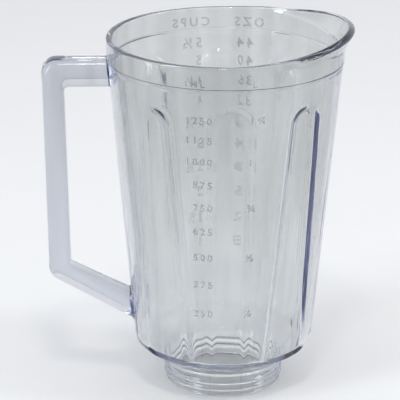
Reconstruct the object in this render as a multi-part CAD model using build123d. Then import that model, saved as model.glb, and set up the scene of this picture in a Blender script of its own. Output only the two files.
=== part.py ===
from build123d import *
import math
import os

# Heights along the jar's axis, from the collar's foot up
collar_height = 13.2
edge_height = 24.9
rim_height = 200.0
band_height = 12.4

# Radii and walls of the tapered body
collar_radius = 32.4
edge_radius = 50.0
ledge_radius = 64.6
wall = 3.2
collar_wall = 3.0
collar_foot_round = 0.8
collar_root_round = 2.5
edge_round = 3.0
floor_round = 5.0

# Rim band above the ledge, with the pouring lip on the +X side
band_step = 0.4
band_flare = 0.3
rim_wall = 2.8
rim_round = 1.0
lip_root_drop = 4.0
lip_root_reach = 0.3
lip_reach = 6.7
lip_spread = 68.0
lip_rise = 7.3
lip_start = -4.4

# Arched flutes pressed into the wall, open at their lower end
flute_depth = 3.0
centre_flute_top_gap = 11.6
side_flute_top_gap = 14.6
flute_draft = 42.0
flute_mouth_round = 2.4
flute_floor_round = 2.0
rib_root_round = 1.6
rib_crest_round = 3.0
centre_flute_half_width = 8.6
side_flute_top_half_width = 9.0
side_flute_foot_half_width = 14.8
side_flute_angle = 41.5

# Shallow scallops in the lower edge, either side of the lip
scallop_radius = 23.0
scallop_depth = 4.2
scallop_angle = 15.5

# Loop handle on the -X side
handle_width = 16.0
grip_reach = 100.4
grip_foot_reach = 97.9
grip_thickness = 12.4
top_arm_lift = 0.8
top_arm_thickness = 15.6
low_arm_foot_height = 36.1
low_arm_root_depth = 16.0
low_arm_under_slope = 29.5
low_arm_top_slope = 26.5
handle_outer_round = 8.0
handle_inner_round = 2.5
handle_edge_round = 2.5
low_root_round = 1.4

# Small overlaps that keep cutters and joined pieces clear of shared faces
overrun = 2.0
bury = 1.2

# Values that follow from the sizes above
ledge_height = rim_height - band_height
lip_root_height = rim_height - lip_root_drop
taper = (ledge_radius - edge_radius) / (ledge_height - edge_height)
taper_angle = math.degrees(math.atan(taper))
level_wall = wall / math.cos(math.radians(taper_angle))
level_flute_depth = flute_depth / math.cos(math.radians(taper_angle))
rib_spread = wall / math.cos(math.radians(flute_draft))
shoulder_slope = (edge_height - collar_height) / (edge_radius - collar_radius)
shoulder_lift = wall * math.sqrt(1 + shoulder_slope**2)
bore_radius = collar_radius - collar_wall
lip_top = rim_height + lip_rise


def body_radius(height):
    """Outside radius of the plain tapered wall at a height."""
    return edge_radius + taper * (height - edge_height)


def turned(chain):
    """Solid turned about the axis from an open outline that runs upward."""
    start = chain @ 0
    end = chain @ 1
    closing = Polyline((end.X, end.Y), (0, end.Y), (0, start.Y), (start.X, start.Y))
    return revolve(Plane.XZ * make_face([chain, closing]), Axis.Z)


def tapered_plug(inset):
    """Full cone that lies a level inset inside the plain wall."""
    low = -edge_height
    high = ledge_height + overrun
    return turned(Line((body_radius(low) - inset, low), (body_radius(high) - inset, high)))


def outer_blank():
    """Collar, shoulder and tapered wall as one full solid, up to the ledge."""
    outline = FilletPolyline(
        (bore_radius, 0),
        (collar_radius, 0),
        (collar_radius, collar_height),
        (edge_radius, edge_height),
        (ledge_radius, ledge_height),
        radius=[collar_foot_round, collar_root_round, edge_round],
    )
    return turned(outline)


def inner_blank():
    """The space inside: bore, sloping floor and tapered wall, up past the ledge."""
    axis_height = collar_height - shoulder_slope * collar_radius + shoulder_lift
    axis_radius = body_radius(0) - level_wall
    corner_height = (axis_height + shoulder_slope * axis_radius) / (1 - shoulder_slope * taper)
    top = ledge_height + overrun
    outline = FilletPolyline(
        (bore_radius, -overrun),
        (bore_radius, axis_height + shoulder_slope * bore_radius),
        (axis_radius + taper * corner_height, corner_height),
        (axis_radius + taper * top, top),
        radius=[collar_root_round, floor_round],
    )
    return turned(outline)


def rim_outline(inset, reach, height):
    """Round outline of the rim band, drawn out to a nose on the +X side, at a height."""
    climb = (height - ledge_height) / (lip_top - ledge_height)
    radius = ledge_radius + band_step + band_flare * climb - inset
    share = math.cos(math.radians(lip_spread))
    nose_radius = radius - reach * share / (1 - share)
    nose_centre = radius + reach - nose_radius
    back = CenterArc((0, 0), radius, lip_spread, 360 - 2 * lip_spread)
    nose = CenterArc((nose_centre, 0), nose_radius, -lip_spread, 2 * lip_spread)
    sides = [Line(back @ 1, nose @ 0), Line(nose @ 1, back @ 0)]
    return Pos(0, 0, height) * make_face([back, nose, *sides])


def rim_plug(inset):
    """Full solid of the rim band, an inset inside its outer face."""
    foot = rim_outline(inset, lip_root_reach, ledge_height)
    root = rim_outline(inset, lip_root_reach, lip_root_height)
    mouth = rim_outline(inset, lip_reach, lip_top)
    return loft([foot, root, mouth], ruled=True)


def rim_trim():
    """Block above the rim's edge, which is level at the back and rises to the lip."""
    far = ledge_radius + lip_reach + overrun
    nose = ledge_radius + band_step + band_flare + lip_reach
    level = Line((-far, rim_height), (lip_start, rim_height))
    rise = Bezier((lip_start, rim_height), ((lip_start + nose) / 2, rim_height), (nose, lip_top))
    tip = Line((nose, lip_top), (far, lip_top))
    roof = Polyline((far, lip_top), (far, lip_top + far), (-far, lip_top + far), (-far, rim_height))
    return extrude(Plane.XZ * make_face([level, rise, tip, roof]), far, both=True)


def arch(top_gap, half_width_top, half_width_foot, margin):
    """Arch drawn flat on the wall: round head and straight sides that run off the foot."""
    slant = 1 / math.cos(math.radians(taper_angle))
    head = (ledge_height / 2 - top_gap) * slant - half_width_top
    foot = -(ledge_height / 2 + overrun) * slant
    lean = math.asin((half_width_foot - half_width_top) / (head - foot))
    lean_angle = math.degrees(lean)
    crown = CenterArc((0, head), half_width_top + margin, lean_angle, 180 - 2 * lean_angle)
    right = crown @ 0
    left = crown @ 1
    splay = (right.Y - foot) * math.tan(lean)
    legs = Polyline((left.X, left.Y), (left.X - splay, foot), (right.X + splay, foot), (right.X, right.Y))
    return make_face([crown, legs])


def flute_body(form, depth, spread, floor_round):
    """One drafted flute on the +X side, with its floor a level depth inside the plain wall."""
    middle = ledge_height / 2
    lean = math.radians(taper_angle)
    seat = Plane(
        origin=(body_radius(middle) + overrun, 0, middle),
        x_dir=(0, -1, 0),
        z_dir=(-math.cos(lean), 0, math.sin(lean)),
    )
    slant = math.tan(math.radians(flute_draft))
    reach = depth + 3 * overrun
    mouth = arch(*form, spread + overrun * slant)
    bottom = arch(*form, spread + (overrun - reach) * slant)
    sharp = seat * loft([mouth, Pos(0, 0, reach) * bottom], ruled=True) - tapered_plug(depth)
    floor = sharp.faces().filter_by(GeomType.CONE).sort_by(SortBy.AREA)[-1]
    return fillet(floor.edges(), floor_round)


def fluted(blank, depth, spread, floor_round, mouth_round):
    """A turned blank with the ring of flutes cut into it and their mouths rounded."""
    sizes = (depth, spread, floor_round)
    narrow = flute_body((centre_flute_top_gap, centre_flute_half_width, centre_flute_half_width), *sizes)
    wide = flute_body((side_flute_top_gap, side_flute_top_half_width, side_flute_foot_half_width), *sizes)
    ring = []
    for face in (-90, 90):
        ring.append(Rot(0, 0, face) * narrow)
        ring.append(Rot(0, 0, face - side_flute_angle) * wide)
        ring.append(Rot(0, 0, face + side_flute_angle) * wide)
    cut = blank - ring
    mouths = new_edges(blank, *ring, combined=cut).filter_by(lambda edge: edge.length > 2 * flute_depth)
    return fillet(mouths.filter_by(GeomType.CIRCLE, reverse=True), mouth_round)


def scallops(spread):
    """Balls that hollow the lower edge on both sides of the lip, grown by a spread."""
    droop = (math.pi / 2 - math.atan(shoulder_slope) + math.atan(taper)) / 2
    stand_off = scallop_radius - scallop_depth
    radial = edge_radius + stand_off * math.cos(droop)
    height = edge_height - stand_off * math.sin(droop)
    ball = Pos(radial, 0, height) * Sphere(scallop_radius + spread)
    return [Rot(0, 0, turn) * ball for turn in (-scallop_angle, scallop_angle)]


def handle():
    """Loop handle: level top arm, upright grip and sloping lower arm, rounded all along."""
    under_rise = math.tan(math.radians(low_arm_under_slope))
    top_rise = math.tan(math.radians(low_arm_top_slope))
    inner_reach = grip_reach - grip_thickness
    inner_foot_reach = grip_foot_reach - grip_thickness
    arm_top = ledge_height + top_arm_lift
    arm_under = arm_top - top_arm_thickness
    low_arm_head_height = low_arm_foot_height + low_arm_root_depth
    foot_radius = body_radius(low_arm_foot_height) - bury
    head_radius = body_radius(low_arm_head_height) - bury
    outside = FilletPolyline(
        (bury - ledge_radius, arm_top),
        (-grip_reach, arm_top),
        (-grip_foot_reach, low_arm_foot_height + under_rise * (grip_foot_reach - foot_radius)),
        (-foot_radius, low_arm_foot_height),
        radius=[handle_outer_round, handle_outer_round],
    )
    inside = FilletPolyline(
        (-head_radius, low_arm_head_height),
        (-inner_foot_reach, low_arm_head_height + top_rise * (inner_foot_reach - head_radius)),
        (-inner_reach, arm_under),
        (bury - body_radius(arm_under), arm_under),
        radius=[handle_inner_round, handle_inner_round],
    )
    ends = [Line(outside @ 1, inside @ 0), Line(inside @ 1, outside @ 0)]
    loop = extrude(Plane.XZ * make_face([outside, inside, *ends]), handle_width / 2, both=True)
    sides = loop.faces().sort_by(Axis.Y)
    return fillet(sides[0].edges() + sides[-1].edges(), handle_edge_round)


outside = fluted(outer_blank(), level_flute_depth, 0, flute_floor_round, flute_mouth_round)
outside -= scallops(0)
inside = fluted(inner_blank(), level_flute_depth + level_wall, rib_spread, rib_crest_round, rib_root_round)
inside -= scallops(wall)

loop = handle()
held = outside + loop
low_root = new_edges(outside, loop, combined=held).filter_by_position(Axis.Z, 0, ledge_height / 2)
held = fillet(low_root, low_root_round)

tube = rim_plug(0) - rim_plug(rim_wall)
trim = rim_trim()
band = tube - trim
band = fillet(new_edges(tube, trim, combined=band), rim_round)

jar = held - inside + band

os.makedirs("parts", exist_ok=True)
export_step(jar, "parts/jar.step")
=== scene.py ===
# %% [markdown]
# # A clear plastic blender jar
# The jar is one moulding in clear plastic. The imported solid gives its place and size. This scene builds
# the same form again as a fine, even mesh, because glass shows every facet of a coarse one, and adds
# the thread ridges and the moulded volume scales.

import math

import bpy
import numpy as np
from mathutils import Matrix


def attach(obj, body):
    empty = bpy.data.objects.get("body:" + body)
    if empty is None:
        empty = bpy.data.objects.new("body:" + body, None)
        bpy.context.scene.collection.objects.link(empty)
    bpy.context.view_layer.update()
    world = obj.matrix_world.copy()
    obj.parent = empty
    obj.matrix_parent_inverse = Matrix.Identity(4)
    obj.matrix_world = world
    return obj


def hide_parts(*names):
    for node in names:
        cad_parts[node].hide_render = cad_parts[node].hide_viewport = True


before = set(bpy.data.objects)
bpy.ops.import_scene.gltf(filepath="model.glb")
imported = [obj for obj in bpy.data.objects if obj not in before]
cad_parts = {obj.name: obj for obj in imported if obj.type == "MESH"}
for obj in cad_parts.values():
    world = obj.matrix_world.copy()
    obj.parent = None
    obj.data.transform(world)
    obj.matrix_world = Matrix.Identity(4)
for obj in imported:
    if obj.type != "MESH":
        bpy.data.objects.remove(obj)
bpy.context.view_layer.update()
MM = 0.001

# %% [markdown]
# ## Sizes
# These are the jar's sizes in millimetres: the collar at the foot, the shoulder, the tapered wall up to
# the ledge, and the rim band that is drawn out to the pouring lip. They are the solid's own, except
# that the rim is thicker with a smaller rounding and the flutes are softer, which shapes how light
# passes through the plastic. Every surface below is worked out from them.

# %% Sizes in millimetres
collar_height = 13.2
edge_height = 24.9
ledge_height = 187.6
rim_height = 200.0
collar_radius = 32.4
bore_radius = 29.4
edge_radius = 50.0
ledge_radius = 64.6
wall = 3.2
band_step = 0.4
band_flare = 0.3
rim_wall = 3.4
rim_round = 0.45
lip_root_reach = 0.3
lip_reach = 6.7
lip_spread = math.radians(68.0)
lip_rise = 7.3
lip_start = -4.4
lip_top = rim_height + lip_rise
lip_nose = ledge_radius + band_step + band_flare + lip_reach
flute_depth = 2.8
flute_draft = math.radians(50.0)
rib_spread = wall / math.cos(flute_draft) - wall * math.tan(flute_draft)
taper = (ledge_radius - edge_radius) / (ledge_height - edge_height)
slant = math.sqrt(1 + taper**2)
level_wall = wall * slant
shoulder_slope = (edge_height - collar_height) / (edge_radius - collar_radius)
shoulder_lift = wall * math.sqrt(1 + shoulder_slope**2)
print("taper of the wall in degrees:", round(math.degrees(math.atan(taper)), 2))

# %% [markdown]
# ## Flutes
# Six arched flutes are pressed into the wall, three on each broad side, and each shows as a rib inside.
# A flute is drawn as an arch on the wall: a round head and straight sides. The distance inside the arch
# gives the depth, through a profile with a drafted side and rounded corners, so one rule makes the
# flutes outside and the ribs inside.

# %% Flute rules
NARROW = (11.2, 11.2, 176.6)
WIDE = (9.6, 15.4, 173.6)
THICK_FLANK = 2.2
FLUTES = [
    (48.5, WIDE, 1, THICK_FLANK),
    (90, NARROW, 0, 0.0),
    (131.5, WIDE, -1, 0.0),
    (228.5, WIDE, 1, 0.0),
    (270, NARROW, 0, 0.0),
    (311.5, WIDE, -1, THICK_FLANK),
]
ARC_STEPS = 6
FLANK_MIDDLE = 1.67
SOFT_FLANK = 0.55
SOFT_SPREAD = 0.6
SOFT_HEAD = 0.5
FOOT_FADE = (28.0, 70.0)
FOOT_DEPTH = 0.45
WIDE_ROUND = 6.6
TIGHT_ROUND = 3.4


def body_radius(height):
    """Outside radius of the plain tapered wall."""
    return edge_radius + taper * (height - edge_height)


def step_profile(mouth_round, floor_round):
    """Depth against distance for a drafted step with both corners rounded, as two arrays."""
    turn = math.pi / 2 - flute_draft
    run = flute_depth * math.tan(flute_draft)
    mouth_cut = mouth_round * math.tan(turn / 2)
    floor_cut = floor_round * math.tan(turn / 2)
    swing = np.linspace(0, turn, ARC_STEPS)
    mouth_x = -mouth_cut + mouth_round * np.sin(swing)
    mouth_y = mouth_round * (1 - np.cos(swing))
    floor_x = run + floor_cut - floor_round * np.sin(swing[::-1])
    floor_y = flute_depth - floor_round * (1 - np.cos(swing[::-1]))
    return np.concatenate([mouth_x, floor_x]), np.concatenate([mouth_y, floor_y])


def arch_distance(across, height, form):
    """Distance inside the arch of a flute, negative outside it."""
    top, foot, apex = form
    middle = ledge_height / 2
    along = (height - middle) * slant
    head_at = (apex - middle) * slant - top
    foot_at = -middle * slant
    rise = head_at - foot_at
    lean = (foot - top) / rise
    upright = math.sqrt(1 - lean**2)
    x = np.abs(across)
    y = along - foot_at
    on_side = x * upright + y * lean - foot
    on_head = np.hypot(x, y - rise) - top
    reach = y * upright - x * lean
    return -np.where(reach > upright * rise, on_head, on_side)


def flute_half_width(height, form):
    """Half width of a flute's straight sides at a height, kept up to its top."""
    top, foot, apex = form
    share = np.clip(height / (apex - top), 0, 1)
    return foot + (top - foot) * share


outer_step = step_profile(WIDE_ROUND, TIGHT_ROUND)
inner_step = step_profile(TIGHT_ROUND, WIDE_ROUND)
print("flutes:", len(FLUTES), "depth", flute_depth, "mm")

# %% [markdown]
# ## Columns of the mesh
# The mesh is a grid of rings. Its columns crowd together along the sides of the flutes, where the
# surface turns fast, and are wide apart on the plain lands. They follow the flutes as these narrow
# towards the top.

# %% Columns
SIDE_STEPS = np.array(
    [-2.0, -1.6, -1.2, -0.8, -0.4, 0.0, 0.5, 1.0, 1.5, 2.0, 2.5, 3.0, 3.5, 4.0, 4.6, 5.4]
)
FLOOR_COLUMNS = 5
NEAR_LAND = 8
FAR_LAND = 22
NEAR_TURN = 60


def column_angles(height, radius, shift):
    """Angles of the columns at a height, for a wall of that radius and arches grown by a shift."""
    strips = []
    soft = FLANK_MIDDLE + (SIDE_STEPS - FLANK_MIDDLE) / SOFT_FLANK
    for centre, form, inward, _ in FLUTES:
        half = flute_half_width(height, form) + shift
        left = half - (soft if inward < 0 else SIDE_STEPS)
        right = half - (soft if inward > 0 else SIDE_STEPS)
        floor = np.linspace(-left[-1], right[-1], FLOOR_COLUMNS + 2)[1:-1]
        across = np.concatenate([-left, floor, right[::-1]])
        strips.append(math.radians(centre) + np.arcsin(across / radius))
    angles = []
    for index, strip in enumerate(strips):
        here = FLUTES[index][0]
        following = FLUTES[(index + 1) % len(FLUTES)][0]
        next_start = strips[(index + 1) % len(strips)][0]
        if following < here:
            following += 360
            next_start += 2 * math.pi
        count = NEAR_LAND if following - here < NEAR_TURN else FAR_LAND
        angles.append(strip)
        angles.append(np.linspace(strip[-1], next_start, count + 2)[1:-1])
    return np.concatenate(angles)


def ease(share):
    """Smooth step from 0 to 1."""
    share = np.clip(share, 0, 1)
    return share**2 * (3 - 2 * share)


def flute_inset(angles, height, radius, profile, shift):
    """How far the flutes push the wall in at each angle."""
    inset = np.zeros_like(angles)
    for centre, form, inward, thick in FLUTES:
        turn = (angles - math.radians(centre) + math.pi) % (2 * math.pi) - math.pi
        across = np.where(np.abs(turn) < math.pi / 3, radius * np.sin(turn), 3 * radius)
        place = np.clip(across / flute_half_width(height, form), -1, 1)
        head = np.clip((height - form[2] + form[0]) / form[0], 0, 1)
        soft = np.maximum(ease(inward * place), SOFT_HEAD * ease(head) * (1 - place**2))
        spread = shift * (1 - (1 - SOFT_SPREAD) * soft)
        rise = ease((height - FOOT_FADE[0]) / (FOOT_FADE[1] - FOOT_FADE[0]))
        if shift:
            spread = spread - thick * rise * ease(-inward * place)
        distance = arch_distance(across, height, form) + spread - FLANK_MIDDLE
        distance = FLANK_MIDDLE + distance * (1 - (1 - SOFT_FLANK) * soft)
        share = 1.0 if inward else FOOT_DEPTH + (1 - FOOT_DEPTH) * rise
        inset = np.maximum(inset, share * np.interp(distance, *profile))
    return inset * slant


print("columns:", len(column_angles(ledge_height, ledge_radius, 0)))

# %% [markdown]
# ## Rings of the body
# Each ring is an outline at one place of the profile. On the wall it is the lesser of the plain radius,
# the fluted radius and the radius that clears the two scallops beside the lip, blended softly so that
# the edges are rounded.

# %% Ring rules
SOFTNESS = 0.6
SCALLOP_RADIUS = 23.0
SCALLOP_DEPTH = 4.2
SCALLOP_ANGLE = math.radians(15.5)
SCALLOP_WALL = 1.4


def soft_min(first, second, width):
    """Lesser of two values, with the change between them rounded off."""
    blend = np.clip(0.5 + 0.5 * (second - first) / width, 0, 1)
    return second + (first - second) * blend - width * blend * (1 - blend)


def scallop_limit(angles, height, spread):
    """Radius at which a level line from the axis meets the balls that hollow the lower edge."""
    droop = (math.pi / 2 - math.atan(shoulder_slope) + math.atan(taper)) / 2
    stand_off = SCALLOP_RADIUS - SCALLOP_DEPTH
    radial = edge_radius + stand_off * math.cos(droop)
    rise = height - (edge_height - stand_off * math.sin(droop))
    limit = np.full_like(angles, 10 * ledge_radius)
    for place in (-SCALLOP_ANGLE, SCALLOP_ANGLE):
        along = radial * np.cos(angles - place)
        square = along**2 - radial**2 - rise**2 + (SCALLOP_RADIUS + spread)**2
        near = along - np.sqrt(np.maximum(square, 0))
        faces_ball = (square > 0) & (along > 0)
        limit = np.where(faces_ball, np.minimum(limit, near), limit)
    return limit


def ring_points(angles, radius, height):
    """Points of a ring as an array, in millimetres."""
    heights = np.broadcast_to(height, angles.shape)
    return np.stack([radius * np.cos(angles), radius * np.sin(angles), heights], axis=1)


def wall_ring(plain, height, inset, profile, shift, spread):
    """Ring of the outer or inner wall where the turned blank has that radius."""
    guide = body_radius(min(max(height, edge_height), ledge_height)) - inset
    angles = column_angles(min(max(height, edge_height), ledge_height), guide, shift)
    cone = body_radius(height) - inset
    fluted = cone - flute_inset(angles, height, cone, profile, shift)
    radius = soft_min(np.full_like(angles, plain), fluted, SOFTNESS)
    radius = np.where(plain < fluted - SOFTNESS, plain, radius)
    radius = soft_min(radius, scallop_limit(angles, height, spread), SOFTNESS)
    return ring_points(angles, radius, height)


def outer_ring(plain, height):
    """Ring of the outside."""
    return wall_ring(plain, height, 0.0, outer_step, 0.0, 0.0)


def inner_ring(plain, height):
    """Ring of the inside, with ribs in place of flutes."""
    return wall_ring(plain, height, level_wall, inner_step, rib_spread, SCALLOP_WALL)


print("ring rules ready")

# %% [markdown]
# ## Rim band and pouring lip
# Above the ledge the outline is a circle at the back, joined by straight sides to a smaller round nose.
# The nose moves out as the band rises, and the rim climbs towards it. The top edge is rounded on both
# sides.

# %% Rim rules
RIM_STEPS = 5
RIM_EDGE = [(1 - math.cos(turn), 1 - math.sin(turn)) for turn in np.linspace(0, math.pi / 2, RIM_STEPS)]
LIP_ROOT_SIDE = 199.3
LIP_ROOT_DROP = 5.8
LIP_THICKENING = 0.35
THICK_FROM = math.radians(74.0)
THICK_FULL = math.radians(48.0)
STEP_FROM = math.radians(40.0)
STEP_FULL = math.radians(56.0)
BAND_SHARES = np.array([0.004, 0.03, 0.14, 0.26, *np.arange(0.36, 0.97, 0.05)])


def lip_root(turn):
    """Height at which the rim starts to lean out to the lip, lowest under its tip."""
    return LIP_ROOT_SIDE - LIP_ROOT_DROP * np.cos(np.minimum(turn, math.pi / 2))**4


def rim_line(angles):
    """Height of the rim's inner edge at each angle."""
    ahead = np.maximum(np.cos(angles), 0)
    along = (ledge_radius + lip_reach * ahead**2) * np.cos(angles)
    share = np.clip((along - lip_start) / (lip_nose - lip_start), 0, 1)
    return rim_height + lip_rise * share**2


def band_radius(angles, height, inset):
    """Radius of the rim band at each angle; its step over the wall fades out towards the lip."""
    turn = np.abs((angles + math.pi) % (2 * math.pi) - math.pi)
    climb = np.clip((height - ledge_height) / (lip_top - ledge_height), 0, 1)
    root = lip_root(turn)
    lift = np.clip((height - root) / (rim_line(angles) - root), 0, 1)
    step = band_step * np.clip((turn - STEP_FROM) / (STEP_FULL - STEP_FROM), 0, 1)
    circle = ledge_radius + step + band_flare * climb - inset
    reach = lip_root_reach + (lip_reach - lip_root_reach) * lift
    share = math.cos(lip_spread)
    nose = circle - reach * share / (1 - share)
    centre = circle + reach - nose
    touch = np.arctan2(nose * math.sin(lip_spread), centre + nose * share)
    half_chord = np.sqrt(np.maximum(nose**2 - (centre * np.sin(turn))**2, 0))
    round_nose = centre * np.cos(turn) + half_chord
    straight = circle / np.cos(np.minimum(np.abs(turn - lip_spread), math.pi / 3))
    front = np.where(turn < touch, round_nose, straight)
    return np.where(turn < lip_spread, front, circle)


def lip_thickness(angles):
    """Thickness of the rim at each angle, as a multiple of its plain wall."""
    turn = np.abs((angles + math.pi) % (2 * math.pi) - math.pi)
    return 1 + LIP_THICKENING * np.clip((THICK_FROM - turn) / (THICK_FROM - THICK_FULL), 0, 1)


def rim_top(angles, inset):
    """Height of the rim's top, square to the leaning wall, an inset inside its outer face."""
    turn = np.abs((angles + math.pi) % (2 * math.pi) - math.pi)
    top = rim_line(angles)
    root = lip_root(turn)
    lean = (band_radius(angles, top, 0.0) - band_radius(angles, root, 0.0)) / (top - root)
    return top - lean * (rim_wall * lip_thickness(angles) - inset)


def band_ring(share, inset, drop):
    """Ring of the band: a share of the way from the ledge to the rim's top, less a drop."""
    shift = 0.0 if inset < rim_wall / 2 else rib_spread
    angles = column_angles(ledge_height, ledge_radius - inset, shift)
    depth = inset * (1 + (lip_thickness(angles) - 1) * share**3)
    height = ledge_height + share * (rim_top(angles, depth) - drop - ledge_height)
    return ring_points(angles, band_radius(angles, height, depth), height)


print("rim rises to", lip_top, "mm at the lip")

# %% [markdown]
# ## Profile of the jar
# The rings run up the outside, over the rim and down the inside, back to the foot. Corners of the
# profile are rounded by short arcs. On the collar, two low thread ridges stand out for the retaining
# ring.

# %% Rings in order
THREADS = [(4.7, 1.0), (8.6, 1.2)]
THREAD_WIDTH = 1.1
COLLAR_HEIGHTS = np.linspace(1.2, 10.2, 36)
LOW_WALL = np.linspace(31, 157, 31)
ARCH_HEADS = np.arange(158.5, 179, 0.5)
TOP_WALL = np.linspace(180, 187, 6)
WALL_HEIGHTS = np.concatenate([LOW_WALL, ARCH_HEADS, TOP_WALL])
EDGE_HEIGHTS = (29.6, 30.3)
GROOVE_FOOT = 183.6
GROOVE_HEIGHT = 186.0
GROOVE_WIDTH = 0.9
GROOVE_DEPTH = 0.35
GROOVE_HEIGHTS = np.linspace(GROOVE_FOOT, 187.55, 14)
FOOT_ROUND = 0.8
COLLAR_ROOT_ROUND = 5.4
SHOULDER_ROUND = 8.0
FLOOR_ROUND = 4.8
BORE_ROUND = 2.5
FEW_STEPS = 5
BORE_STEPS = 6
ROOT_STEPS = 8
MANY_STEPS = 14
FOOT_PLACES = (0.5, 1.5)
SHOULDER_SHARES = (0.25, 0.5, 0.7, 0.8, 0.88, 0.94)
FLOOR_SHARES = (0.2, 0.4, 0.6, 0.8)
INNER_LEDGE = 187.3
BORE_HEIGHTS = (9.0, 6.0, 3.0, 1.0, 0.3)
BORE_BEVEL = 0.09


def rounded_corner(before, corner, after, radius, steps):
    """Points of an arc that rounds off one corner of the profile."""
    start = np.array(before, float) - corner
    end = np.array(after, float) - corner
    start /= np.hypot(*start)
    end /= np.hypot(*end)
    half = math.acos(np.clip(start @ end, -1, 1)) / 2
    middle = (start + end) / np.hypot(*(start + end))
    centre = np.array(corner) + middle * radius / math.sin(half)
    first = np.array(corner) + start * radius / math.tan(half) - centre
    last = np.array(corner) + end * radius / math.tan(half) - centre
    sweep = math.pi - 2 * half
    points = []
    for share in np.linspace(0, 1, steps):
        mix = math.sin((1 - share) * sweep) * first + math.sin(share * sweep) * last
        points.append(tuple(centre + mix / math.sin(sweep)))
    return points


def between(start, end, shares):
    """Points on the straight line from start to end."""
    start = np.array(start)
    return [tuple(start + share * (np.array(end) - start)) for share in shares]


def collar_profile():
    """Collar's outside with its thread ridges, from below the root rounding."""
    points = []
    for height in COLLAR_HEIGHTS:
        swell = 0.0
        for at, rise in THREADS:
            swell += rise * math.exp(-((height - at) / THREAD_WIDTH)**2)
        points.append((collar_radius + swell, height))
    return points


def groove_profile():
    """Wall under the ledge, with the shallow groove that sets the rim band off."""
    points = []
    for height in GROOVE_HEIGHTS:
        sink = GROOVE_DEPTH * math.exp(-((height - GROOVE_HEIGHT) / GROOVE_WIDTH)**2)
        points.append((body_radius(height) - sink, height))
    return points


foot_out = (collar_radius, 0.0)
collar_root = (collar_radius, collar_height)
edge = (edge_radius, edge_height)
ledge = (ledge_radius, ledge_height)
shoulder = rounded_corner(collar_root, edge, ledge, SHOULDER_ROUND, MANY_STEPS)
outside_profile = [(bore_radius + place, 0.0) for place in FOOT_PLACES]
outside_profile += rounded_corner((bore_radius, 0), foot_out, collar_root, FOOT_ROUND, FEW_STEPS)
outside_profile += collar_profile()
outside_profile += rounded_corner(foot_out, collar_root, edge, COLLAR_ROOT_ROUND, ROOT_STEPS)
outside_profile += between(outside_profile[-1], shoulder[0], SHOULDER_SHARES)
outside_profile += shoulder
outside_profile += [(body_radius(height), height) for height in EDGE_HEIGHTS]
below_groove = WALL_HEIGHTS[WALL_HEIGHTS < GROOVE_FOOT]
outside_profile += [(body_radius(height), height) for height in below_groove]
outside_profile += groove_profile()

floor_axis = collar_height - shoulder_slope * collar_radius + shoulder_lift
wall_axis = body_radius(0) - level_wall
corner_height = (floor_axis + shoulder_slope * wall_axis) / (1 - shoulder_slope * taper)
bore_top = (bore_radius, floor_axis + shoulder_slope * bore_radius)
floor_corner = (wall_axis + taper * corner_height, corner_height)
wall_top = (body_radius(ledge_height) - level_wall, ledge_height)
corner_arc = rounded_corner(wall_top, floor_corner, bore_top, FLOOR_ROUND, MANY_STEPS)
bore_arc = rounded_corner(floor_corner, bore_top, (bore_radius, 0), BORE_ROUND, BORE_STEPS)
inner_heights = (INNER_LEDGE, *WALL_HEIGHTS[::-1])
inside_profile = [(body_radius(height) - level_wall, height) for height in inner_heights]
inside_profile += corner_arc
inside_profile += between(corner_arc[-1], bore_arc[0], FLOOR_SHARES)
inside_profile += bore_arc
inside_profile += [(bore_radius, height) for height in BORE_HEIGHTS]
inside_profile += [(bore_radius + BORE_BEVEL, BORE_BEVEL)]

rings = [outer_ring(*point) for point in outside_profile]
rings += [band_ring(share, 0.0, rim_round) for share in BAND_SHARES]
rings += [band_ring(1.0, inset, drop) for inset, drop in RIM_EDGE]
rings += [band_ring(1.0, rim_wall - inset, drop) for inset, drop in RIM_EDGE[::-1]]
rings += [band_ring(share, rim_wall, rim_round) for share in BAND_SHARES[::-1]]
rings += [inner_ring(*point) for point in inside_profile]
print("rings:", len(rings), "columns:", len(rings[0]))

# %% [markdown]
# ## Body mesh
# The rings are joined into one closed skin, like a tube that is bent over at the rim and closed at the
# foot.

# %% Body


def skin(name, loops, closed):
    """Mesh object from loops of equal length; closed joins the last loop to the first."""
    count = len(loops[0])
    vertices = np.concatenate(loops) * MM
    total = len(loops) if closed else len(loops) - 1
    faces = []
    for row in range(total):
        low = row * count
        high = (row + 1) % len(loops) * count
        for column in range(count):
            beside = (column + 1) % count
            faces.append((low + column, low + beside, high + beside, high + column))
    if not closed:
        faces.append(tuple(reversed(range(count))))
        faces.append(tuple(range((len(loops) - 1) * count, len(loops) * count)))
    mesh = bpy.data.meshes.new(name)
    mesh.from_pydata(vertices.tolist(), [], faces)
    mesh.update()
    piece = bpy.data.objects.new(name, mesh)
    bpy.context.scene.collection.objects.link(piece)
    return piece


jar = skin("jar_body", rings, True)
print("body faces:", len(jar.data.polygons))

# %% [markdown]
# ## Handle
# The handle is a loop with a level top arm, an upright grip and a sloping lower arm. Rounded sections
# are set along it and widen where it meets the wall, as a moulded root does. It is then fused to the
# body, so that light passes from one to the other with no skin between.

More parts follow.
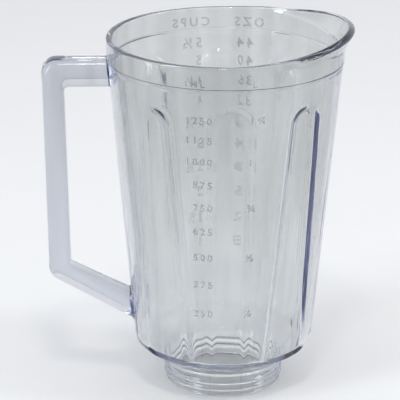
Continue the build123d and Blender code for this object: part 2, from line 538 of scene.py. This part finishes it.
# %% Handle
GRIP_REACH = 100.4
GRIP_FOOT_REACH = 97.9
GRIP_THICKNESS = 12.4
TOP_ARM = 15.6
TOP_ARM_LIFT = 0.8
LOW_ARM_FOOT = 36.1
LOW_ARM_ROOT_DEPTH = 16.0
LOW_ARM_UNDER_SLOPE = math.radians(29.5)
LOW_ARM_TOP_SLOPE = math.radians(26.5)
HANDLE_HALF_WIDTH = 8.0
HANDLE_EDGE = 5.0
TOP_ROOT_ROUND = 0.5
LOW_ROOT_ROUND = 1.4
BURY = 1.4
OUTER_CORNER = 8.0
INNER_CORNER = 2.5
CORNER_STEPS = 14
EDGE_STEPS = 8
GRIP_SHARES = np.linspace(0.1, 0.9, 9)
ROOT_SHARES = [0.0, 0.045, 0.055, 0.065, 0.08, 0.1, 0.13, 0.17, 0.3, 0.5, 0.75]
QUARTERS = ((0, 1, 1), (90, -1, 1), (180, -1, -1), (270, 1, -1))


def section(outer, inner, grow):
    """Rounded section of the handle between an outer and an inner point, grown by a margin."""
    outer = np.array(outer)
    inner = np.array(inner)
    middle = (outer + inner) / 2
    out = (outer - inner) / np.hypot(*(outer - inner))
    tall = np.hypot(*(outer - inner)) / 2 + grow
    wide = HANDLE_HALF_WIDTH + grow
    radius = HANDLE_EDGE + grow
    points = []
    for start, side, up in QUARTERS:
        for turn in np.radians(np.linspace(start, start + 90, EDGE_STEPS)):
            across = side * (wide - radius) + radius * math.cos(turn)
            rise = up * (tall - radius) + radius * math.sin(turn)
            place = middle + out * rise
            points.append((place[0], across, place[1]))
    return np.array(points)


def arm(outer_from, outer_to, inner_from, inner_to, shares):
    """Pairs of outer and inner points along a straight arm."""
    pairs = []
    for share in shares:
        outer = np.array(outer_from) + share * (np.array(outer_to) - outer_from)
        inner = np.array(inner_from) + share * (np.array(inner_to) - inner_from)
        pairs.append((outer, inner))
    return pairs


under_rise = math.tan(LOW_ARM_UNDER_SLOPE)
top_rise = math.tan(LOW_ARM_TOP_SLOPE)
arm_top = ledge_height + TOP_ARM_LIFT
arm_under = arm_top - TOP_ARM
inner_reach = GRIP_REACH - GRIP_THICKNESS
inner_foot_reach = GRIP_FOOT_REACH - GRIP_THICKNESS
low_head = LOW_ARM_FOOT + LOW_ARM_ROOT_DEPTH
foot_radius = body_radius(LOW_ARM_FOOT) - BURY
head_radius = body_radius(low_head) - BURY
outer_path = [
    (BURY - body_radius(arm_top), arm_top),
    (-GRIP_REACH, arm_top),
    (-GRIP_FOOT_REACH, LOW_ARM_FOOT + under_rise * (GRIP_FOOT_REACH - foot_radius)),
    (-foot_radius, LOW_ARM_FOOT),
]
inner_path = [
    (BURY - body_radius(arm_under), arm_under),
    (-inner_reach, arm_under),
    (-inner_foot_reach, low_head + top_rise * (inner_foot_reach - head_radius)),
    (-head_radius, low_head),
]
outer_top = rounded_corner(*outer_path[:3], OUTER_CORNER, CORNER_STEPS)
inner_top = rounded_corner(*inner_path[:3], INNER_CORNER, CORNER_STEPS)
outer_low = rounded_corner(*outer_path[1:], OUTER_CORNER, CORNER_STEPS)
inner_low = rounded_corner(*inner_path[1:], INNER_CORNER, CORNER_STEPS)
pairs = arm(outer_path[0], outer_top[0], inner_path[0], inner_top[0], ROOT_SHARES)
pairs += list(zip(outer_top, inner_top))
pairs += arm(outer_top[-1], outer_low[0], inner_top[-1], inner_low[0], GRIP_SHARES)
pairs += list(zip(outer_low, inner_low))
pairs += arm(outer_path[3], outer_low[-1], inner_path[3], inner_low[-1], ROOT_SHARES)[::-1]
sections = []
for outer, inner in pairs:
    centre = (np.array(outer) + np.array(inner)) / 2
    clear = -centre[0] - body_radius(centre[1])
    root = TOP_ROOT_ROUND if centre[1] > ledge_height / 2 else LOW_ROOT_ROUND
    short = np.clip(root - clear, 0, root)
    grow = root - math.sqrt(max(root**2 - short**2, 0))
    sections.append(section(outer, inner, grow))
handle = skin("handle_loop", sections, False)
print("handle faces:", len(handle.data.polygons))

# %% [markdown]
# ## Fusing body and handle
# The real jar is moulded in one shot, so no wall lies between body and handle. An exact union takes
# away the skin inside the joint. Two overlapping shells would be simpler, but in clear plastic that
# skin would show. Both skins must face outwards before they are fused.

# %% Fuse
SHARP_TURN = math.radians(38)


def face_outward(piece):
    """Turns the skin's faces so that they all look out of the plastic."""
    bpy.context.view_layer.objects.active = piece
    bpy.ops.object.select_all(action="DESELECT")
    piece.select_set(True)
    bpy.ops.object.mode_set(mode="EDIT")
    bpy.ops.mesh.select_all(action="SELECT")
    bpy.ops.mesh.normals_make_consistent(inside=False)
    bpy.ops.object.mode_set(mode="OBJECT")


face_outward(jar)
face_outward(handle)
join = jar.modifiers.new("fuse", "BOOLEAN")
join.operation = "UNION"
join.solver = "EXACT"
join.object = handle
bpy.context.view_layer.objects.active = jar
bpy.ops.object.modifier_apply(modifier=join.name)
bpy.data.objects.remove(handle)
jar.data.shade_smooth()
jar.data.set_sharp_from_angle(angle=SHARP_TURN)
print("jar faces after fusing:", len(jar.data.polygons))

# %% [markdown]
# ## Clear plastic
# The plastic's colour is painted shade: a grey tint in upright streaks that stands in for the darker
# surroundings seen through and reflected in the wall, and painted light that makes it paler towards the
# foot, where the bright floor shows through. There is also a faint indigo dye. Through a single wall the
# dye hardly shows, but along the rim and the flute sides light runs a long way inside the plastic and
# comes out indigo. So the dye is an absorption in the volume and not a paint. A node group makes the
# painted tint, the slight waviness and the haze of a moulding.

# %% Plastic
# Painted shade: grey streaks in the plastic's colour, standing in for surroundings seen through it.
PAINTED_SHADE_STREAKS = ((0.3, (0.71, 0.722, 0.702, 1)), (0.7, (0.865, 0.877, 0.854, 1)))
# Painted light: the tint turns paler over this span of height above the foot, in metres.
PAINTED_FOOT_LIGHT_SPAN = (0.0, 0.115)
PAINTED_FOOT_LIGHT = (0.96, 0.97, 0.955, 1)
UPRIGHT = (1.0, 1.0, 0.12)
WAVE_SCALE = 90.0
WAVE_DETAIL = 2.0
WAVE_DEPTH = 0.0002
CLOUD_SCALE = 60.0
CLOUD_DETAIL = 4.0
CLEAR_HAZE = 0.05
MATT_HAZE = 0.9
PLASTIC_IOR = 1.58
DYE_COLOUR = (0.0, 0.06, 0.42, 1)
DYE_DENSITY = 18.0


def moulded_finish():
    """Node group: haze and waviness of a moulded clear surface, with a painted shade of grey streaks,
    paler towards the foot as painted light.
    """
    group = bpy.data.node_groups.new("moulded_finish", "ShaderNodeTree")
    for socket in ("Stretch", "Haze", "Depth"):
        group.interface.new_socket(socket, in_out="INPUT", socket_type="NodeSocketFloat")
    group.interface.new_socket("Color", in_out="OUTPUT", socket_type="NodeSocketColor")
    group.interface.new_socket("Roughness", in_out="OUTPUT", socket_type="NodeSocketFloat")
    group.interface.new_socket("Normal", in_out="OUTPUT", socket_type="NodeSocketVector")
    nodes = group.nodes
    links = group.links
    entry = nodes.new("NodeGroupInput")
    leave = nodes.new("NodeGroupOutput")
    place = nodes.new("ShaderNodeTexCoord")
    stretch = nodes.new("ShaderNodeMapping")
    stretch.inputs["Scale"].default_value = UPRIGHT
    links.new(place.outputs["Object"], stretch.inputs["Vector"])
    waves = nodes.new("ShaderNodeTexNoise")
    waves.inputs["Detail"].default_value = WAVE_DETAIL
    links.new(entry.outputs["Stretch"], waves.inputs["Scale"])
    links.new(stretch.outputs["Vector"], waves.inputs["Vector"])
    cloud = nodes.new("ShaderNodeTexNoise")
    cloud.inputs["Scale"].default_value = CLOUD_SCALE
    cloud.inputs["Detail"].default_value = CLOUD_DETAIL
    links.new(place.outputs["Object"], cloud.inputs["Vector"])
    # Painted shade: the waviness noise picks grey streaks for the plastic's colour.
    painted_streak_ramp = nodes.new("ShaderNodeValToRGB")
    for element, (position, colour) in zip(painted_streak_ramp.color_ramp.elements, PAINTED_SHADE_STREAKS):
        element.position = position
        element.color = colour
    links.new(waves.outputs["Fac"], painted_streak_ramp.inputs["Fac"])
    axes = nodes.new("ShaderNodeSeparateXYZ")
    links.new(place.outputs["Object"], axes.inputs["Vector"])
    rise = nodes.new("ShaderNodeMapRange")
    rise.inputs["From Min"].default_value = PAINTED_FOOT_LIGHT_SPAN[0]
    rise.inputs["From Max"].default_value = PAINTED_FOOT_LIGHT_SPAN[1]
    links.new(axes.outputs["Z"], rise.inputs["Value"])
    # Painted light: the tint turns paler towards the foot.
    foot = nodes.new("ShaderNodeMix")
    foot.data_type = "RGBA"
    foot.inputs["A"].default_value = PAINTED_FOOT_LIGHT
    links.new(rise.outputs["Result"], foot.inputs["Factor"])
    links.new(painted_streak_ramp.outputs["Color"], foot.inputs["B"])
    links.new(foot.outputs["Result"], leave.inputs["Color"])
    rough = nodes.new("ShaderNodeMath")
    rough.operation = "MULTIPLY"
    links.new(cloud.outputs["Fac"], rough.inputs[0])
    links.new(entry.outputs["Haze"], rough.inputs[1])
    links.new(rough.outputs["Value"], leave.inputs["Roughness"])
    bump = nodes.new("ShaderNodeBump")
    bump.inputs["Strength"].default_value = 1.0
    links.new(entry.outputs["Depth"], bump.inputs["Distance"])
    links.new(waves.outputs["Fac"], bump.inputs["Height"])
    links.new(bump.outputs["Normal"], leave.inputs["Normal"])
    return group


haze_and_painted_shade = moulded_finish()


def clear_plastic(name, stretch, haze, depth):
    """Clear polycarbonate with a faint indigo dye; its colour is the group's painted shade."""
    material = bpy.data.materials.new(name)
    material.use_nodes = True
    nodes = material.node_tree.nodes
    links = material.node_tree.links
    shader = nodes["Principled BSDF"]
    output = nodes["Material Output"]
    shader.inputs["IOR"].default_value = PLASTIC_IOR
    shader.inputs["Transmission Weight"].default_value = 1.0
    use = nodes.new("ShaderNodeGroup")
    use.node_tree = haze_and_painted_shade
    use.inputs["Stretch"].default_value = stretch
    use.inputs["Haze"].default_value = haze
    use.inputs["Depth"].default_value = depth
    links.new(use.outputs["Color"], shader.inputs["Base Color"])
    links.new(use.outputs["Roughness"], shader.inputs["Roughness"])
    links.new(use.outputs["Normal"], shader.inputs["Normal"])
    dye = nodes.new("ShaderNodeVolumeAbsorption")
    dye.inputs["Color"].default_value = DYE_COLOUR
    dye.inputs["Density"].default_value = DYE_DENSITY
    links.new(dye.outputs["Volume"], output.inputs["Volume"])
    return material


plastic = clear_plastic("clear_plastic", WAVE_SCALE, CLEAR_HAZE, WAVE_DEPTH)
jar.data.materials.clear()
jar.data.materials.append(plastic)
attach(jar, "root")
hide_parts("jar")
print("material:", plastic.name)

# %% [markdown]
# ## Volume scales
# Figures stand a little proud of the wall: millilitres and litres on the front, cups and ounces on the
# back, where they read from behind. Each is drawn flat as text, then wrapped on the wall. Moulded
# figures scatter light, so the front scales, the labels and the upper back rows are a matt version of
# the plastic. The lower back rows stay clear.

# %% Volume scales
FIGURE_RISE = 0.6
FIGURE_GAP = 0.02
FIGURE_WEIGHT = 0.1
FIGURE_SIZE = 5.4
FRACTION_SIZE = 6.0
BACK_SIZE = 8.0
FIGURE_SPACING = 1.45
LABEL_HEIGHT = 191.0
BACK_SHIFT = 4.1
OUNCE = 29.57
TOP_PITCH = 0.088
CLEAR_ROWS = 7
FIRST_OUNCES = 8
OUNCE_STEP = 4
MILLILITRE_TURN = -99.3
LITRE_TURN = -81.5
CUP_TURN = 99.0
OUNCE_TURN = 81.0
FIGURE_CURVE_STEPS = 3
LABELS = (("ML", 5.2, -106.0), ("L", 5.2, -79.5), ("CUPS", 7.4, 105.0), ("OZS", 7.4, 74.5))
MILLILITRES = [250, 375, 500, 625, 750, 875, 1000, 1125, 1250]
MARK_HEIGHTS = [58.0, 75.3, 91.4, 106.8, 120.6, 133.8, 147.1, 159.3, 170.3]
LITRES = {"\u00bc": 250, "\u00bd": 500, "\u00be": 750, "1": 1000, "1\u00bc": 1250}
HALF_CUPS = ["1", "1\u00bd", "2", "2\u00bd", "3", "3\u00bd", "4", "4\u00bd", "5", "5\u00bd"]


def outer_radius(angles, height):
    """Outside radius of wall or band at a height."""
    band = band_radius(angles, height, 0.0)
    return np.where(height > ledge_height, band, body_radius(height))


def figure(text, size, align, turn, height):
    """Points and faces of one raised figure, wrapped on the wall round an angle."""
    curve = bpy.data.curves.new("figure", "FONT")
    curve.body = text
    curve.size = size
    curve.space_character = FIGURE_SPACING
    curve.align_x = align
    curve.align_y = "CENTER"
    curve.extrude = FIGURE_RISE / 2
    curve.resolution_u = FIGURE_CURVE_STEPS
    curve.offset = FIGURE_WEIGHT
    drawn = bpy.data.objects.new("figure", curve)
    bpy.context.scene.collection.objects.link(drawn)
    state = bpy.context.evaluated_depsgraph_get()
    flat = bpy.data.meshes.new_from_object(drawn.evaluated_get(state))
    points = np.array([tuple(vertex.co) for vertex in flat.vertices])
    faces = [tuple(face.vertices) for face in flat.polygons]
    bpy.data.objects.remove(drawn)
    heights = height + points[:, 1] / slant
    middle = math.radians(turn)
    angles = middle + points[:, 0] / body_radius(height)
    radius = outer_radius(angles, heights) + FIGURE_GAP + FIGURE_RISE / 2 + points[:, 2]
    return np.stack([radius * np.cos(angles), radius * np.sin(angles), heights], axis=1), faces


matt = clear_plastic("matt_plastic", WAVE_SCALE, MATT_HAZE, WAVE_DEPTH)


def wrapped(name, figures, material):
    """One object from a list of figures."""
    points = []
    faces = []
    for group, corners in figures:
        first = sum(len(done) for done in points)
        points.append(group * MM)
        faces += [tuple(first + corner for corner in face) for face in corners]
    mesh = bpy.data.meshes.new(name)
    mesh.from_pydata(np.concatenate(points).tolist(), [], faces)
    mesh.materials.append(material)
    piece = bpy.data.objects.new(name, mesh)
    bpy.context.scene.collection.objects.link(piece)
    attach(piece, "root")
    print(name, len(figures), "figures,", len(faces), "faces")


matt_figures = []
clear_figures = []
for amount, height in zip(MILLILITRES, MARK_HEIGHTS):
    matt_figures.append(figure(str(amount), FIGURE_SIZE, "RIGHT", MILLILITRE_TURN, height))
for text, amount in LITRES.items():
    height = np.interp(amount, MILLILITRES, MARK_HEIGHTS)
    size = FRACTION_SIZE if text != "1" else FIGURE_SIZE
    matt_figures.append(figure(text, size, "LEFT", LITRE_TURN, height))
for step, text in enumerate(HALF_CUPS):
    ounces = FIRST_OUNCES + OUNCE_STEP * step
    amount = ounces * OUNCE
    height = BACK_SHIFT + np.interp(amount, MILLILITRES, MARK_HEIGHTS)
    height += max(amount - MILLILITRES[-1], 0) * TOP_PITCH
    row = matt_figures if step >= CLEAR_ROWS else clear_figures
    row.append(figure(text, BACK_SIZE, "LEFT", CUP_TURN, height))
    row.append(figure(str(ounces), BACK_SIZE, "RIGHT", OUNCE_TURN, height))
for text, size, turn in LABELS:
    matt_figures.append(figure(text, size, "CENTER", turn, LABEL_HEIGHT))
wrapped("volume_scales", matt_figures, matt)
wrapped("back_scale_rows", clear_figures, plastic)

# %% [markdown]
# ## Stage
# The jar stands on a plain white floor with a faint grain. One large sheet is enough, because the
# camera looks down and sees nothing else behind the jar.

# %% Stage
FLOOR_SIZE = 12.0
FLOOR_DROP = 0.0003
GRAIN_SCALE = 300.0
GRAIN_SHADES = ((0.93, 0.93, 0.93, 1), (0.95, 0.95, 0.95, 1))
FLOOR_ROUGHNESS = 0.9


def floor_sheet():
    """Flat square sheet under the jar."""
    half = FLOOR_SIZE / 2
    mesh = bpy.data.meshes.new("floor")
    corners = [(-half, -half, 0), (half, -half, 0), (half, half, 0), (-half, half, 0)]
    mesh.from_pydata(corners, [], [(0, 1, 2, 3)])
    sheet = bpy.data.objects.new("floor", mesh)
    sheet.location = (0, 0, -FLOOR_DROP)
    bpy.context.scene.collection.objects.link(sheet)
    return sheet


def floor_material():
    """White floor with a faint grain."""
    material = bpy.data.materials.new("studio_floor")
    material.use_nodes = True
    nodes = material.node_tree.nodes
    links = material.node_tree.links
    grain = nodes.new("ShaderNodeTexNoise")
    grain.inputs["Scale"].default_value = GRAIN_SCALE
    shade = nodes.new("ShaderNodeValToRGB")
    for element, colour in zip(shade.color_ramp.elements, GRAIN_SHADES):
        element.color = colour
    links.new(grain.outputs["Fac"], shade.inputs["Fac"])
    links.new(shade.outputs["Color"], nodes["Principled BSDF"].inputs["Base Color"])
    nodes["Principled BSDF"].inputs["Roughness"].default_value = FLOOR_ROUGHNESS
    nodes["Principled BSDF"].inputs["Specular IOR Level"].default_value = 0.0
    return material


floor = floor_sheet()
floor.data.materials.append(floor_material())
print("stage sheet: floor")

# %% [markdown]
# ## Lights
# Clear plastic shows the room around it. The room is pale at eye level and dimmer overhead, and the
# camera, the floor and the plastic all see it alike. An evenly white room would be simpler, but in it
# the flutes nearly vanish. Two tall windows and a small lamp overhead add glints.

# %% Lights
HORIZON = (0.25, (1.0, 1.0, 1.0, 1))
CEILING = (0.65, (0.62, 0.63, 0.66, 1))
WALL_AIM = (0, 0, 0.1)
RIM_AIM = (0, 0, 0.15)


def window(name, size, place, aim, power, colour):
    """Soft rectangular lamp that shows as a window in the plastic."""
    lamp = bpy.data.lights.new(name, "AREA")
    lamp.shape = "RECTANGLE"
    lamp.size = size[0]
    lamp.size_y = size[1]
    lamp.energy = power
    lamp.color = colour
    holder = bpy.data.objects.new(name, lamp)
    holder.location = place
    toward = np.array(aim) - np.array(place)
    level = math.hypot(toward[0], toward[1])
    holder.rotation_euler = (math.atan2(level, -toward[2]), 0, math.atan2(-toward[0], toward[1]))
    bpy.context.scene.collection.objects.link(holder)


def studio_world():
    """Pale room with a dim ceiling, the same for the camera, the floor and the plastic."""
    world = bpy.data.worlds.new("studio")
    world.use_nodes = True
    nodes = world.node_tree.nodes
    links = world.node_tree.links
    place = nodes.new("ShaderNodeTexCoord")
    axes = nodes.new("ShaderNodeSeparateXYZ")
    links.new(place.outputs["Generated"], axes.inputs["Vector"])
    room = nodes.new("ShaderNodeValToRGB")
    for element, (position, colour) in zip(room.color_ramp.elements, (HORIZON, CEILING)):
        element.position = position
        element.color = colour
    links.new(axes.outputs["Z"], room.inputs["Fac"])
    links.new(room.outputs["Color"], nodes["Background"].inputs["Color"])
    return world


window(
    "left_window",
    size=(0.35, 1.2),
    place=(-1.1, -0.7, 0.7),
    aim=WALL_AIM,
    power=7.5,
    colour=(0.86, 0.93, 1.0),
)
window(
    "right_window",
    size=(0.3, 1.2),
    place=(1.2, -0.3, 0.7),
    aim=WALL_AIM,
    power=6.0,
    colour=(0.92, 0.96, 1.0),
)
window(
    "ceiling_lamp",
    size=(0.16, 0.16),
    place=(-0.05, -0.6, 1.25),
    aim=RIM_AIM,
    power=1.8,
    colour=(1.0, 0.95, 0.86),
)
bpy.context.scene.world = studio_world()
print("lights: two windows, a small ceiling lamp and a pale room")

# %% [markdown]
# ## Camera
# The camera stands in front of the jar and a little above it, with a long lens, as fitted to the
# photograph. Light crosses many surfaces of the clear wall, so the paths may bounce often.

# %% Camera
SENSOR = 36.0
LENS = 200.66
CAMERA_PLACE = (-0.0650, -1.1709, 0.5180)
CAMERA_TURN = (70.608, -0.264, -2.424)
CLEAR_BOUNCES = 40
GLOSSY_BOUNCES = 32

camera_data = bpy.data.cameras.new("camera")
camera_data.sensor_width = SENSOR
camera_data.lens = LENS
camera = bpy.data.objects.new("camera", camera_data)
camera.location = CAMERA_PLACE
camera.rotation_euler = [math.radians(turn) for turn in CAMERA_TURN]
bpy.context.scene.collection.objects.link(camera)
bpy.context.scene.camera = camera
bpy.context.scene.view_settings.view_transform = "Standard"
bpy.context.scene.cycles.max_bounces = CLEAR_BOUNCES
bpy.context.scene.cycles.transmission_bounces = CLEAR_BOUNCES
bpy.context.scene.cycles.glossy_bounces = GLOSSY_BOUNCES
print("camera with a", camera_data.lens, "mm lens")
